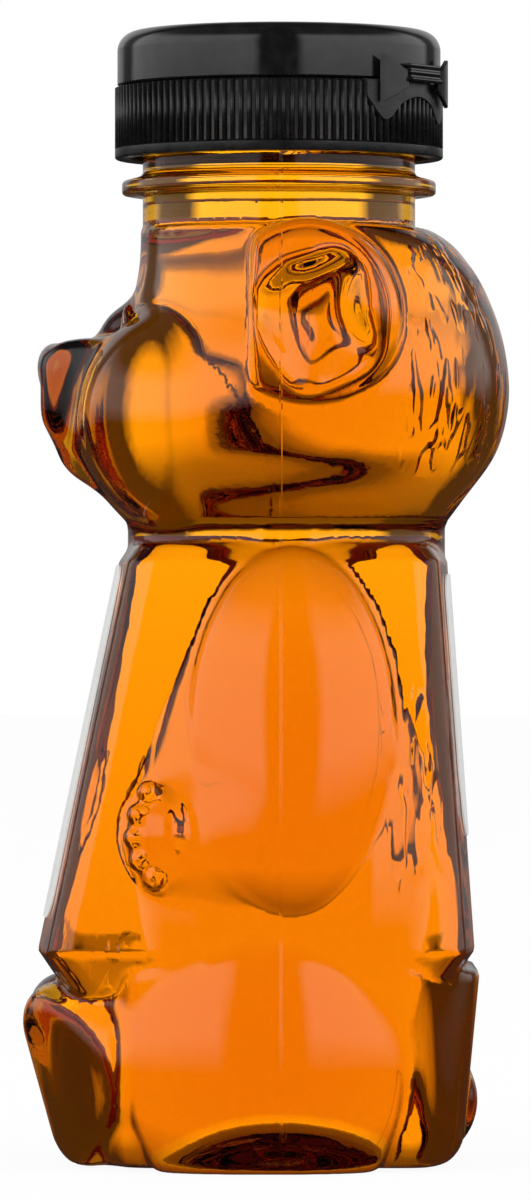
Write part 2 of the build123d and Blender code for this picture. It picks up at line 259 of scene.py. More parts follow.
def sealFoil():
    look = foilLook
    material, tree, shader = newMaterial("sealFoil", Metallic=1.0, Base_Color=look["silver"])
    wire(spread(tree, noiseAt(tree, *look["haze"]), *look["roughness"]), shader.inputs["Roughness"])
    bumps(tree, shader, look["dent"], look["grain"])
    return material


plastic, wet, honeySide, honeyTop = (clearMaterial(name) for name in clearLook)
film, foil = labelFilm(), sealFoil()
lidBlack, skirtBlack, strapBlack = (blackPlastic(name) for name in blackLook["kinds"])
print("materials ready")


def addObject(name, data):
    made = bpy.data.objects.new(name, data)
    scene.collection.objects.link(made)
    return made


def makePiece(name, points, faces, materials, faceSlots=None, sharp=None):
    mesh = bpy.data.meshes.new(name)
    mesh.from_pydata((np.asarray(points, float) * 0.001).tolist(), [], faces)
    for material in materials:
        mesh.materials.append(material)
    mesh.shade_smooth()
    if faceSlots:
        mesh.polygons.foreach_set("material_index", faceSlots)
    if sharp:
        mesh.set_sharp_from_angle(angle=radians(sharp))
    mesh.validate()
    mesh.update()
    return addObject(name, mesh)


def along(z, knots, values):
    knots, values = np.asarray(knots, float), np.asarray(values, float)
    slopes = np.gradient(values, knots)
    i = np.clip(np.searchsorted(knots, z) - 1, 0, len(knots) - 2)
    step = knots[i + 1] - knots[i]
    t = np.clip((z - knots[i]) / step, 0, 1)
    t2, t3 = t * t, t * t * t
    return ((2 * t3 - 3 * t2 + 1) * values[i] + (t3 - 2 * t2 + t) * step * slopes[i]
            + (3 * t2 - 2 * t3) * values[i + 1] + (t3 - t2) * step * slopes[i + 1])


def merge(a, b, soft):
    h = np.clip(0.5 + 0.5 * (b - a) / soft, 0, 1)
    return b + (a - b) * h - soft * h * (1 - h)


def carve(a, b, soft):
    return -merge(-a, b, soft)


def keepBoth(a, b, soft):
    return -merge(-a, -b, soft)


def between(z, low, high):
    return np.maximum(z - high, low - z)


def block(x, y, z, at, radii, taper, leastHalf):
    # a swelling with a squared outline seen from the side, narrowing ahead
    wide = np.maximum(radii[0] + taper * (y - at[1]), leastHalf)
    qx, qy, qz = np.abs(x - at[0]) / wide, np.abs(y - at[1]) / radii[1], np.abs(z - at[2]) / radii[2]
    side = (qy ** 4 + qz ** 4) ** 0.25
    return ((qx ** 8 + side ** 8) ** 0.125 - 1) * min(radii)


def disc(x, y, z, at, radii, power):
    # an egg with a face that gets flatter as the power grows past 2
    qx, side = np.abs(x - at[0]) / radii[0], np.hypot((y - at[1]) / radii[1], (z - at[2]) / radii[2])
    return ((qx ** power + side ** power) ** (1 / power) - 1) * min(radii)


def egg(x, y, z, at, radii, lean=0.0):
    qx, qy, qz = (x - at[0] + lean * (z - at[2])) / radii[0], (y - at[1]) / radii[1], (z - at[2]) / radii[2]
    far = np.sqrt(qx * qx + qy * qy + qz * qz) + 1e-6
    steep = np.sqrt((qx / radii[0]) ** 2 + (qy / radii[1]) ** 2 + (qz / radii[2]) ** 2) + 1e-6
    return far * (far - 1) / steep


def roundedEdge(a, b, edge):
    # what lies inside both a and b, with a round edge where they meet
    qa, qb = a + edge, b + edge
    return np.hypot(np.maximum(qa, 0), np.maximum(qb, 0)) + np.minimum(np.maximum(qa, qb), 0) - edge


def roundBox(x, y, halfX, halfY, corner):
    return roundedEdge(np.abs(x) - halfX, np.abs(y) - halfY, corner)


bear = {
    # height, half width, front and back of the flat label panels
    "panels": ((17, 19.0, 23.3, 17.8), (26, 25.0, 29.3, 23.8), (73, 20.0, 19.5, 20.5),
               (75.4, 18.4, 17.9, 18.9)),
    "panelSpan": (16, 75.2), "panelCrown": 1.8, "panelCorner": 3.0,
    "crownMost": 1.2,  # the crown's drop past the panels' corners, as a share of it
    # height, half width and reach of the belly
    "belly": ((12, 25.3, 20.4), (31.5, 26.8, 21.4), (46.5, 25.5, 20.6), (53, 24.5, 18.4),
              (60, 23.0, 14.9), (69, 20.6, 9.8), (74.3, 18.1, 6.7)),
    "bellySpan": (12, 74.3), "bellyBack": 0.6,
    "bellyRound": 0.58,  # the corners, as a share of the reach
    # height, half width, front and back of the hips
    "hips": ((0, 22.5, 23.0, 21.8), (24, 25.0, 23.0, 24.2)),
    "hipCorner": 5.0, "hipTop": 24.0, "hipEdge": 4.2,
    "hipCut": (52.0, 28.6),  # the corners are cut off at this angle and distance
    "waist": {"half": 18.78, "reach": 19.33, "back": 0.91, "span": (70.0, 80.0)},
    # height, half width, front and back of the skull
    "skull": ((77.9, 18.98, 18.62, 20.44), (80.4, 21.8, 20.9, 22.3), (86.0, 24.6, 23.7, 26.3),
              (91.5, 26.0, 23.0, 27.9), (98.0, 25.2, 20.4, 27.7), (104.0, 23.1, 18.1, 26.0),
              (109.2, 21.9, 17.0, 23.2), (112.2, 20.9, 16.8, 20.4), (113.8, 20.3, 16.8, 17.8)),
    "skullSpan": (77.6, 113.5),
    # place, radii, taper and least half width
    "muzzle": ((0, -19.5, 93.8), (9.8, 9.5, 6.4), 0.4, 3),
    # name: place, radii, softness of the join
    "face": {"nose": ((0, -27.6, 97.0), (4.6, 1.6, 2.4), 1.2),
             "chin": ((0, -19.2, 87.8), (10.2, 8.0, 6.2), 1.8),
             "bridge": ((0, -14.6, 99.3), (6.5, 7.6, 6.2), 1.6),
             "cheek": ((11.3, -13.4, 90.4), (9.5, 10.3, 11.8), 3.4)},
    "eye": ((8.6, -18.2, 101.6), (2.1, 0.9, 2.5)),
    # place, radii and power of the ear's disc; the bowl, hollow and curl are carved out of it
    "ear": ((20.8, 3.4, 102.2), (8.6, 11.4, 11.7), 2.8),
    "earFront": -3.4,
    "earBowl": ((31.2, 4.4, 101.6), (5.6, 7.3, 9.4)),
    "earHollow": ((30.2, 6.8, 100.8), (4.2, 3.2, 6.6)),
    "earCurl": ((29.2, 4.6, 107.4), (2.3, 4.0, 2.0)),
    # height, pace and start of the waves that bend what is carved, along Y and along Z
    "earWaves": ((0.9, 0.5, 0.4), (1.0, 0.55, 0.0)),
    "hollowSlant": 0.28, "hollowLean": 0.12, "curlSlant": 0.15,
    # name: place, radii, lean towards the middle, softness of the join
    "limbs": {"thigh": ((21.5, -1.6, 12.6), (7.7, 17.5, 19.3), 0.0, 0.6),
              "upperArm": ((22.4, 1.5, 52.4), (6.1, 12.6, 22.4), 0.12, 0.3),
              "forearm": ((22.1, -5.2, 39.6), (5.8, 12.6, 8.9), 0.0, 2.2),
              "paw": ((23.2, -13.2, 40.2), (5.0, 4.6, 6.0), 0.0, 0.8)},
    "fingers": ((25.6, -15.5, 45.4), (25.8, -16.7, 42.7), (25.8, -17.1, 40.0), (25.8, -16.5, 37.4),
                (25.8, -14.9, 35.3)),
    "fingerRadius": 1.5,
    "tail": ((0, 18.2, 7.5), (6.0, 6.0, 6.9)),
    "neck": 16.6, "neckFrom": 105.0, "pushUp": ((0, 0, 0), (12.2, 12.2, 6.6)),
    # softness of the other joins and edges
    "soft": {"panels": 0.8, "hipCut": 2.0, "hipTop": 1.0, "bellyEnds": 1.5, "hips": 0.8, "belly": 0.9,
             "finger": 0.5, "foot": 1.0, "tail": 0.8, "waistEnds": 0.5, "waist": 0.4, "skullEnds": 0.5,
             "muzzle": 2.2, "eye": 0.5, "earFront": 1.2, "bowl": 1.6, "hollow": 3.2, "curl": 1.8, "ear": 0.7,
             "skull": 0.5, "neck": 0.5, "base": 1.2, "pushUp": 1.0},
    "wall": 0.8, "honeyGap": 0.08,
}
footForm = {
    "side": 13.8, "ahead": -29.0, "rise": 10.0, "half": 10.2, "tall": 11.5, "lean": 15.5, "edge": 4.6,
    "length": 15.0,
    # the outer edge slants back: its shares of the way out and ahead, its distance and its softness
    "slant": (0.643, 0.766, 0.6), "slantSoft": 2.0,
}


def footField(x, y, z):
    lean = radians(footForm["lean"])
    px, py, pz = x - footForm["side"], y - footForm["ahead"], z - footForm["rise"]
    ahead = -py * cos(lean) - pz * sin(lean)  # out of the sole
    up = -py * sin(lean) + pz * cos(lean)
    half = footForm["half"]
    radial = (np.hypot(px / half, up / footForm["tall"]) - 1) * half
    body = roundedEdge(radial, ahead, footForm["edge"])
    shareOut, shareAhead, distance = footForm["slant"]
    body = keepBoth(body, shareOut * px + shareAhead * ahead - distance, footForm["slantSoft"])
    return np.maximum(body, -ahead - footForm["length"])


def sizesAt(z, name, way):
    rows = np.array(bear[name], float).T
    return [way(z, rows[0], row) for row in rows[1:]]


def trunkField(x, y, z, fine):
    soft = bear["soft"]
    half, front, back = sizesAt(z, "panels", np.interp)
    crown = bear["panelCrown"] * np.minimum((x / half) ** 2, bear["crownMost"])
    near, far = crown - front, back - crown
    panels = roundBox(x, y - (near + far) / 2, half, (far - near) / 2, bear["panelCorner"])
    panels = keepBoth(panels, between(z, *bear["panelSpan"]), soft["panels"])
    half, front, back = sizesAt(z, "hips", np.interp)
    flat = roundBox(x, y - (back - front) / 2, half, (back + front) / 2, bear["hipCorner"])
    cut = radians(bear["hipCut"][0])
    flat = keepBoth(flat, x * cos(cut) + np.abs(y) * sin(cut) - bear["hipCut"][1], soft["hipCut"])
    flat = keepBoth(flat, z - bear["hipTop"], soft["hipTop"])
    hips = roundedEdge(flat, -z, bear["hipEdge"])
    half, reach = sizesAt(z, "belly", along)
    belly = roundBox(x, y - bear["bellyBack"], half, reach, bear["bellyRound"] * reach)
    belly = keepBoth(belly, between(z, *bear["bellySpan"]), soft["bellyEnds"])
    body = merge(hips, panels, soft["hips"])
    body = merge(body, belly, soft["belly"])
    for at, radii, lean, limbSoft in bear["limbs"].values():
        body = merge(body, egg(x, y, z, at, radii, lean), limbSoft)
    if fine:
        for at in bear["fingers"]:
            ball = np.sqrt((x - at[0]) ** 2 + (y - at[1]) ** 2 + (z - at[2]) ** 2) - bear["fingerRadius"]
            body = merge(body, ball, soft["finger"])
    body = merge(body, footField(x, y, z), soft["foot"])
    body = merge(body, egg(x, y, z, *bear["tail"]), soft["tail"])
    size = bear["waist"]
    waist = (np.hypot(x / size["half"], (y - size["back"]) / size["reach"]) - 1) * size["half"]
    return merge(body, keepBoth(waist, between(z, *size["span"]), soft["waistEnds"]), soft["waist"])


def earField(x, y, z):
    soft = bear["soft"]
    ear = keepBoth(disc(x, y, z, *bear["ear"]), bear["earFront"] - y, soft["earFront"])
    (highY, paceY, startY), (highZ, paceZ, startZ) = bear["earWaves"]
    bendY, bendZ = y + highY * np.sin(paceY * z + startY), z + highZ * np.sin(paceZ * y + startZ)
    ear = carve(ear, egg(x, bendY, bendZ, *bear["earBowl"]), soft["bowl"])
    slantY = bendY + bear["hollowSlant"] * (z - bear["earHollow"][0][2])
    ear = carve(ear, egg(x, slantY, bendZ, *bear["earHollow"], lean=bear["hollowLean"]), soft["hollow"])
    return carve(ear, egg(x, bendY, bendZ + bear["curlSlant"] * y, *bear["earCurl"]), soft["curl"])


def skullField(x, y, z, fine):
    soft = bear["soft"]
    half, front, back = sizesAt(z, "skull", along)
    reach = (front + back) / 2
    skull = (np.hypot(x / half, (y - (back - front) / 2) / reach) - 1) * np.minimum(half, reach)
    skull = keepBoth(skull, between(z, *bear["skullSpan"]), soft["skullEnds"])
    skull = merge(skull, block(x, y, z, *bear["muzzle"]), soft["muzzle"])
    for at, radii, faceSoft in bear["face"].values():
        skull = merge(skull, egg(x, y, z, at, radii), faceSoft)
    if fine:
        skull = merge(skull, egg(x, y, z, *bear["eye"]), soft["eye"])
    return merge(skull, earField(x, y, z), soft["ear"])


def bearField(x, y, z, fine=True):
    # how far a point lies outside the bear, and below 0 inside it; fingers and eyes are fine
    x, soft = np.abs(x), bear["soft"]
    body = merge(trunkField(x, y, z, fine), skullField(x, y, z, fine), soft["skull"])
    body = merge(body, np.maximum(np.hypot(x, y) - bear["neck"], bear["neckFrom"] - z), soft["neck"])
    body = keepBoth(body, -z, soft["base"])
    return carve(body, egg(x, y, z, *bear["pushUp"]), soft["pushUp"])


def slopeAt(points, fine):
    step = 0.05
    out = np.empty_like(points)
    for axis in range(3):
        shift = np.zeros(3)
        shift[axis] = step
        rise = bearField(*(points + shift).T, fine) - bearField(*(points - shift).T, fine)
        out[:, axis] = rise / (2 * step)
    return out


# reach and place of the grid that the skins are found on, layers worked out at once, steps onto the form
skinGrid = {
    "reach": (31.5, 33.0), "ahead": 1.5, "below": 1.5, "top": 114.9, "layers": 12, "steps": 3,
    "longestStep": 0.4,
}


def turnsOf(points, ring):
    return np.arctan2([points[i][1] for i in ring], [points[i][0] for i in ring])


def skinOf(inset, cell, fine):
    # a closed skin on the bear's form, drawn in by inset and open at the top of the neck
    top = skinGrid["top"]
    xs, ys = (np.arange(-int(r / cell) - 1, int(r / cell) + 2) * cell for r in skinGrid["reach"])
    ys = ys - skinGrid["ahead"]
    zs = top - np.arange(int((top + skinGrid["below"]) / cell) + 1)[::-1] * cell
    values = np.empty((len(xs), len(ys), len(zs)), np.float32)
    gx, gy = np.meshgrid(xs, ys, indexing="ij")
    layers = skinGrid["layers"]
    for k in range(0, len(zs), layers):
        field = bearField(gx[:, :, None], gy[:, :, None], zs[k:k + layers][None, None, :], fine)
        values[:, :, k:k + layers] = field + inset
    within = values < 0
    count = np.zeros(tuple(n - 1 for n in within.shape), np.int8)
    corners = [(i, j, k) for i in (0, 1) for j in (0, 1) for k in (0, 1)]
    for i, j, k in corners:
        count += within[i:i + count.shape[0], j:j + count.shape[1], k:k + count.shape[2]]
    cells = np.argwhere((count > 0) & (count < 8))
    index = np.full(count.shape, -1, np.int32)
    index[tuple(cells.T)] = np.arange(len(cells))
    at = [values[cells[:, 0] + i, cells[:, 1] + j, cells[:, 2] + k] for i, j, k in corners]
    total, crossings = np.zeros((len(cells), 3)), np.zeros(len(cells))
    for (first, low), (second, high) in combinations(zip(np.array(corners), at), 2):
        if np.abs(first - second).sum() == 1:  # along one edge of the cell
            cross = (low < 0) != (high < 0)
            share = np.where(cross, low / np.where(cross, low - high, 1), 0)
            total += cross[:, None] * (first + share[:, None] * (second - first))
            crossings += cross
    points = cells + total / crossings[:, None]
    points = np.array([xs[0], ys[0], zs[0]]) + points * cell
    longest = skinGrid["longestStep"] * cell
    for _ in range(skinGrid["steps"]):
        slope = slopeAt(points, fine)
        move = (bearField(*points.T, fine) + inset)[:, None] * slope / ((slope ** 2).sum(1)[:, None] + 1e-9)
        points -= np.clip(move, -longest, longest)
    faces = []
    for axis in range(3):
        b, c = (axis + 1) % 3, (axis + 2) % 3
        low, high = [slice(1, -1)] * 3, [slice(1, -1)] * 3
        low[axis], high[axis] = slice(None, -1), slice(1, None)
        before, after = within[tuple(low)], within[tuple(high)]
        edges = np.argwhere(before != after)
        out = before[tuple(edges.T)]
        edges[:, [b, c]] += 1
        shifts = np.zeros((4, 3), int)
        shifts[:, b], shifts[:, c] = (-1, 0, 0, -1), (-1, -1, 0, 0)
        quad = index[tuple((edges[:, None] + shifts).transpose(2, 0, 1))]
        quad[~out] = quad[~out][:, ::-1]
        faces.append(quad)
    ring = np.flatnonzero(cells[:, 2] == count.shape[2] - 1)
    return points, np.concatenate(faces), ring[np.argsort(turnsOf(points, ring))]


def bandFaces(low, high):
    # faces between two rings of the same number, or triangles where one of them is a single point
    count, faces = max(len(low), len(high)), []
    for i in range(count):
        j = (i + 1) % count
        face = [low[i % len(low)], low[j % len(low)], high[j % len(high)], high[i % len(high)]]
        face = list(dict.fromkeys(face))
        if len(face) > 2:
            faces.append(face)
    return faces


def carryUp(points, faces, ring, rows, close=False):
    # rows of (radius, height) on the ring's own angles, joined on above it
    points, faces = list(map(list, points)), [list(face) for face in faces]
    turns, last = turnsOf(points, ring), list(ring)
    for radius, height in rows:
        new = list(range(len(points), len(points) + len(ring)))
        points += [[radius * cos(turn), radius * sin(turn), height] for turn in turns]
        faces += bandFaces(last, new)
        last = new
    if close:
        faces += bandFaces(last, [len(points)])
        points.append([0, 0, rows[-1][1]])
    return points, faces, last


def zipRings(points, *rings):
    # triangles between two rings that run the same way round but differ in their number
    rows = []
    for ring in rings:
        turns = turnsOf(points, ring)
        order = [*np.argsort(turns), np.argmin(turns)]
        rows.append(([*np.sort(turns), min(turns) + 2 * pi], [ring[i] for i in order]))
    (a, first), (b, second) = rows
    i, j, out = 0, 0, []
    while i + 1 < len(a) or j + 1 < len(b):
        if j + 1 == len(b) or (i + 1 < len(a) and a[i + 1] <= b[j + 1]):
            out.append([first[i], first[i + 1], second[j]])
            i += 1
        else:
            out.append([first[i], second[j + 1], second[j]])
            j += 1
    return out


neckFinish = {
    # radius and height of the support ring's rows, then of the rim's
    "ring": ((16.6, 115.15), (16.6, 116.2), (16.6, 117.3), (16.62, 117.5), (16.75, 117.64), (17.0, 117.68),
             (18.6, 117.7), (18.9, 117.75), (19.1, 117.95), (19.13, 118.15), (19.13, 119.05), (19.0, 119.35),
             (18.6, 119.5), (17.1, 119.9), (16.75, 120.2), (16.6, 120.5), (16.6, 120.8)),
    "rim": ((16.6, 128.2), (16.6, 128.5), (16.45, 129.0), (16.1, 129.2), (15.6, 129.2), (15.3, 129.05),
            (15.2, 128.7)),
    "bore": 15.2, "wetRows": ((15.2, 118.0), (15.5, 116.0)), "honeyLevel": 123.4, "dryEdge": 0.6,
}
cellSizes = {"outer": 0.64, "inner": 1.5, "honey": 1.3}

outer, outerFaces, outerRing = skinOf(0.0, cellSizes["outer"], True)
inner, innerFaces, innerRing = skinOf(bear["wall"], cellSizes["inner"], False)
print("bear skin", len(outer), "points,", len(outerFaces), "faces; inside", len(innerFaces))

fur = {
    "seed": 7,
    # least and most Y, least and most Z, number and height of the strokes
    "patches": (((16, 27), (90, 111), 60, 0.035), ((13, 19), (34, 58), 20, 0.1)),
    "length": (3.0, 6.0), "width": (0.5, 0.7), "lean": (0.12, 0.1), "leastX": 4, "most": 0.35, "share": 0.8,
}


def furStrokes(points):
    # short moulded strokes of fur, raised a little along each stroke's middle
    rng = np.random.default_rng(fur["seed"])
    normals = slopeAt(points, False)
    normals /= np.linalg.norm(normals, axis=1)[:, None]
    lift = np.zeros(len(points))
    for rangeY, rangeZ, number, height in fur["patches"]:
        for _ in range(number):
            y, z = rng.uniform(*rangeY), rng.uniform(*rangeZ)
            length, width = rng.uniform(*fur["length"]), rng.uniform(*fur["width"])
            lean = rng.normal(*fur["lean"])
            near = (np.abs(points[:, 1] - y) < length) & (np.abs(points[:, 2] - z) < length)
            if not near.any():
                continue
            for side in (-1, 1):
                pick = near & (points[:, 0] * side > fur["leastX"])
                dy, dz = points[pick, 1] - y, points[pick, 2] - z
                down, over = dz * cos(lean) + dy * sin(lean), dy * cos(lean) - dz * sin(lean)
                lift[pick] += height * np.exp(-(over / width) ** 2 - (down / (0.5 * length)) ** 4)
    return points + fur["share"] * np.minimum(lift, fur["most"])[:, None] * normals


points, faces, top = carryUp(
    furStrokes(outer), outerFaces, outerRing, neckFinish["ring"] + neckFinish["rim"])
bore, level = neckFinish["bore"], neckFinish["honeyLevel"]
points, faces, top = carryUp(points, faces, top, ((bore, level + neckFinish["dryEdge"]), (bore, level)))
dryCount = len(faces)
points, faces, top = carryUp(points, faces, top, neckFinish["wetRows"])
offset = len(points)
points += inner.tolist()
faces += zipRings(points, [int(i) + offset for i in innerRing], top)
faces += [[i + offset for i in face[::-1]] for face in innerFaces.tolist()]
slots = [0] * dryCount + [1] * (len(faces) - dryCount)
bearBottle = makePiece("bearBottle", points, faces, [plastic, wet], slots)
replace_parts(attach(bearBottle, "bottle"), "bottle")
print("bottle", len(faces))

honeyForm = {
    # height of the side's first row, and drop of its last one below the level
    "side": (117.0, 0.02),
    # how far in from the bore, and how far below the level, as the surface sinks from its edge
    "sink": ((0.25, 0.35), (0.9, 0.55), (3, 0.6), (9, 0.6)),
}
radius = bore - bear["honeyGap"]
firstHeight, lastDrop = honeyForm["side"]
points, faces, top = carryUp(*skinOf(bear["wall"] + bear["honeyGap"], cellSizes["honey"], False),
                             ((radius, firstHeight), (radius, level - lastDrop)))
sideCount = len(faces)
surface = [(radius - inward, level - drop) for inward, drop in honeyForm["sink"]]
points, faces, top = carryUp(points, faces, top, surface, close=True)
slots = [0] * sideCount + [1] * (len(faces) - sideCount)
honey = makePiece("honey", points, faces, [honeySide, honeyTop], slots)
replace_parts(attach(honey, "bottle"), "honey_fill")
print("honey", len(faces))


labels = {
    "front": {"facing": -1, "foot": 30.2, "head": 72.6, "footHalf": 18.5, "headHalf": 13.8, "start": 31.0},
    "back": {"facing": 1, "foot": 40.0, "head": 71.5, "footHalf": 16.5, "headHalf": 14.0, "start": 27.0},
    "corner": 3.0, "stand": 0.05, "thickness": 0.22, "rows": 61, "columns": 49,
    "crowding": 0.07,  # how much closer the rows lie at the two ends
    "settleSteps": 60, "settleShare": 0.8,
}


def onPanel(x, z, facing, start, stand):
    y = np.full_like(x, facing * start)
    for _ in range(labels["settleSteps"]):
        y = y - facing * (bearField(x, y, z, False) - stand) * labels["settleShare"]
    return y


def labelPiece(name, side):
    size = labels[side]
    rows, columns = labels["rows"], labels["columns"]
    share = np.linspace(0, 1, rows)
    share = share - labels["crowding"] * np.sin(2 * pi * share)
    z = size["foot"] + share * (size["head"] - size["foot"])
    half = size["footHalf"] + share * (size["headHalf"] - size["footHalf"])
    toEnd = np.minimum(z - size["foot"], size["head"] - z)
    corner = labels["corner"]
    half = half - corner + np.sqrt(np.maximum(corner ** 2 - np.maximum(corner - toEnd, 0) ** 2, 0))
    grid = np.linspace(-1, 1, columns)[None, :] * half[:, None]
    zz = np.repeat(z[:, None], columns, 1)
    stands = (labels["stand"] + labels["thickness"], labels["stand"])
    sheets = [onPanel(grid, zz, size["facing"], size["start"], stand) for stand in stands]
    points = np.concatenate([np.stack([grid, sheet, zz], -1).reshape(-1, 3) for sheet in sheets])
    n = rows * columns
    index = np.arange(n).reshape(rows, columns).tolist()
    faces = []
    for low, high in zip(index, index[1:]):
        for a, b, c, d in zip(low, low[1:], high[1:], high):
            faces += [[a, b, c, d], [n + a, n + d, n + c, n + b]]
    edge = index[0] + [row[-1] for row in index[1:]] + index[-1][-2::-1] + [row[0] for row in index[-2:0:-1]]
    faces += [[a, n + a, n + b, b] for a, b in zip(edge, edge[1:] + edge[:1])]
    if size["facing"] > 0:
        faces = [face[::-1] for face in faces]
    piece = makePiece(name, points, faces, [film], sharp=40)
    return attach(piece, "bottle")


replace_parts(labelPiece("frontLabel", "front"), "front_label")
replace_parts(labelPiece("backLabel", "back"), "back_label")
print("labels ready")


def turnedPiece(name, profile, material, count=192, closed=True, sharp=30):
    # a profile of (radius, height) turned round the neck's axis; a radius of 0 makes a pole
    points, faces, rows = [], [], []
    for radius, height in profile:
        turns = [2 * pi * i / count for i in range(count if radius else 1)]
        rows.append(list(range(len(points), len(points) + len(turns))))
        points += [[radius * cos(turn), radius * sin(turn), height] for turn in turns]
    for low, high in list(zip(rows, rows[1:])) + ([(rows[-1], rows[0])] if closed else []):
        faces += bandFaces(low, high)
    return makePiece(name, points, faces, [material], sharp=sharp)


def tubeFaces(around, steps):
    # the sides and both ends of a tube whose points come one ring of the given number after another
    faces = []
    for i in range(around * steps):
        after = i + 1 if (i + 1) % around else i + 1 - around
        faces.append([i, i + around, after + around, after])
    return faces + [list(range(around)), [around * steps + k for k in range(around)][::-1]]


def arcRows(centre, radius, start, end, steps):
    turns = [radians(start + (end - start) * i / steps) for i in range(steps + 1)]
    return [(centre[0] + radius * cos(turn), centre[1] + radius * sin(turn)) for turn in turns]


seal = {
    "radius": 16.3, "foot": 129.25, "thickness": 0.4,
    # radius, and depth below the top, of the foil's upper face, pressed down over the bore
    "dish": ((15.3, 0), (15.1, 0.12), (12, 0.14), (6, 0.13), (0, 0.12)),
}
top = seal["foot"] + seal["thickness"]
sealRows = [(0, seal["foot"]), (seal["radius"] - 0.1, seal["foot"]), (seal["radius"], seal["foot"] + 0.1)]
sealRows += [(seal["radius"], top - 0.15), (seal["radius"] - 0.15, top)]
sealRows += [(radius, top - depth) for radius, depth in seal["dish"]]
sealPiece = turnedPiece("foilSeal", sealRows, foil, closed=False, sharp=50)
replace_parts(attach(sealPiece, "seal"), "foil_seal")

thread = {
    "pitch": 4.2333, "foot": 122.6, "turns": 1.1, "capTurns": 0.9, "rootHalf": 0.85, "tipHalf": 0.35,
    "neckRoot": 16.5, "neckTip": 17.75, "capTip": 17.0, "bite": 0.1, "fade": 14, "least": 0.04,
    "stepsInTurn": 96,
}


def threadPiece(name, root, tip, foot, turns, material):
    # a ridge wound round the neck's axis that rises by the pitch in each turn and fades out at both ends
    steps = int(thread["stepsInTurn"] * turns)
    rootHalf, tipHalf = thread["rootHalf"], thread["tipHalf"]
    points = []
    for i in range(steps + 1):
        turn = 2 * pi * i / thread["stepsInTurn"]
        height = foot + thread["pitch"] * i / thread["stepsInTurn"]
        grown = min(1, i / thread["fade"], (steps - i) / thread["fade"])
        out = root + (tip - root) * max(thread["least"], grown)
        for radius, rise in ((root, -rootHalf), (out, -tipHalf), (out, tipHalf), (root, rootHalf)):
            points.append([radius * cos(turn), radius * sin(turn), height + rise])
    faces = tubeFaces(4, steps)
    if tip < root:
        faces = [face[::-1] for face in faces]
    return makePiece(name, points, faces, [material], sharp=40)


neckThread = threadPiece(
    "neckThread", thread["neckRoot"], thread["neckTip"], thread["foot"], thread["turns"], plastic)
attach(neckThread, "bottle")

cap = {
    "foot": 122.1, "deck": 130.9, "deckUnder": 129.7, "step": 131.4, "nozzleTop": 134.4,
    "radius": 20.0, "ribRoot": 19.55, "bore": 18.2, "stepRadius": 18.0, "nozzle": 3.7, "orifice": 2.4,
    "hingeTurn": 57.0, "ribs": 120, "shortRibs": 12, "band": 1.3, "ribHalfTip": 0.13, "ribHalfFoot": 0.32,
    "ribSink": 0.12, "ribRound": (0.08, 0.07), "ribGap": 0.15, "recessDrop": 2.6, "recessReach": 19.1,
}


def skirtRows():
    # up the inside from the deck, round the foot, up the outside and over the deck to the nozzle
    foot, deck, step, tip, under = (cap[key] for key in ("foot", "deck", "step", "nozzleTop", "deckUnder"))
    radius, root, bore, inner = (cap[key] for key in ("radius", "ribRoot", "bore", "stepRadius"))
    nozzle, orifice = cap["nozzle"], cap["orifice"]
    rows = [(orifice, under), (bore - 0.6, under), (bore, under - 0.6), (bore, foot + 0.15)]
    rows += [(bore + 0.15, foot), (radius - 0.2, foot), (radius - 0.05, foot + 0.1), (radius, foot + 0.25)]
    rows += [(radius, foot + 1.15), (root + 0.3, foot + 1.3), (root + 0.05, foot + 1.4), (root, foot + 1.6)]
    rows.append((root, foot + 6.2))
    rows += [(root, deck - 0.35), (root - 0.15, deck - 0.1), (root - 0.35, deck), (inner + 0.05, deck)]
    rows += [(inner, step - 0.1), (inner - 0.15, step), (nozzle + 0.4, step), (nozzle + 0.1, step + 0.15)]
    rows += [(nozzle, step + 0.4), (nozzle, tip - 0.45), (nozzle - 0.15, tip - 0.1), (nozzle - 0.4, tip)]
    return rows + [(orifice + 0.2, tip), (orifice, tip - 0.2)]


capSkirt = turnedPiece("capSkirt", skirtRows(), skirtBlack, count=240)
thumbTurn = cap["hingeTurn"] + 180


def atTurn(degrees, ahead, aside, height):
    # a point at a distance ahead of the neck's axis and aside, with the way ahead turned round it
    turn = radians(degrees)
    return [ahead * cos(turn) - aside * sin(turn), ahead * sin(turn) + aside * cos(turn), height]


for vertex in capSkirt.data.vertices:  # the thumb recess, a flat bite in the skirt's top
    x, y, z = (value * 1000 for value in vertex.co)
    ahead, aside, z = atTurn(-thumbTurn, x, y, z)
    if -cap["recessDrop"] - 0.1 < z - cap["deck"] < 0.05 and ahead > cap["recessReach"]:
        vertex.co = Vector(atTurn(thumbTurn, cap["recessReach"], aside, z)) / 1000


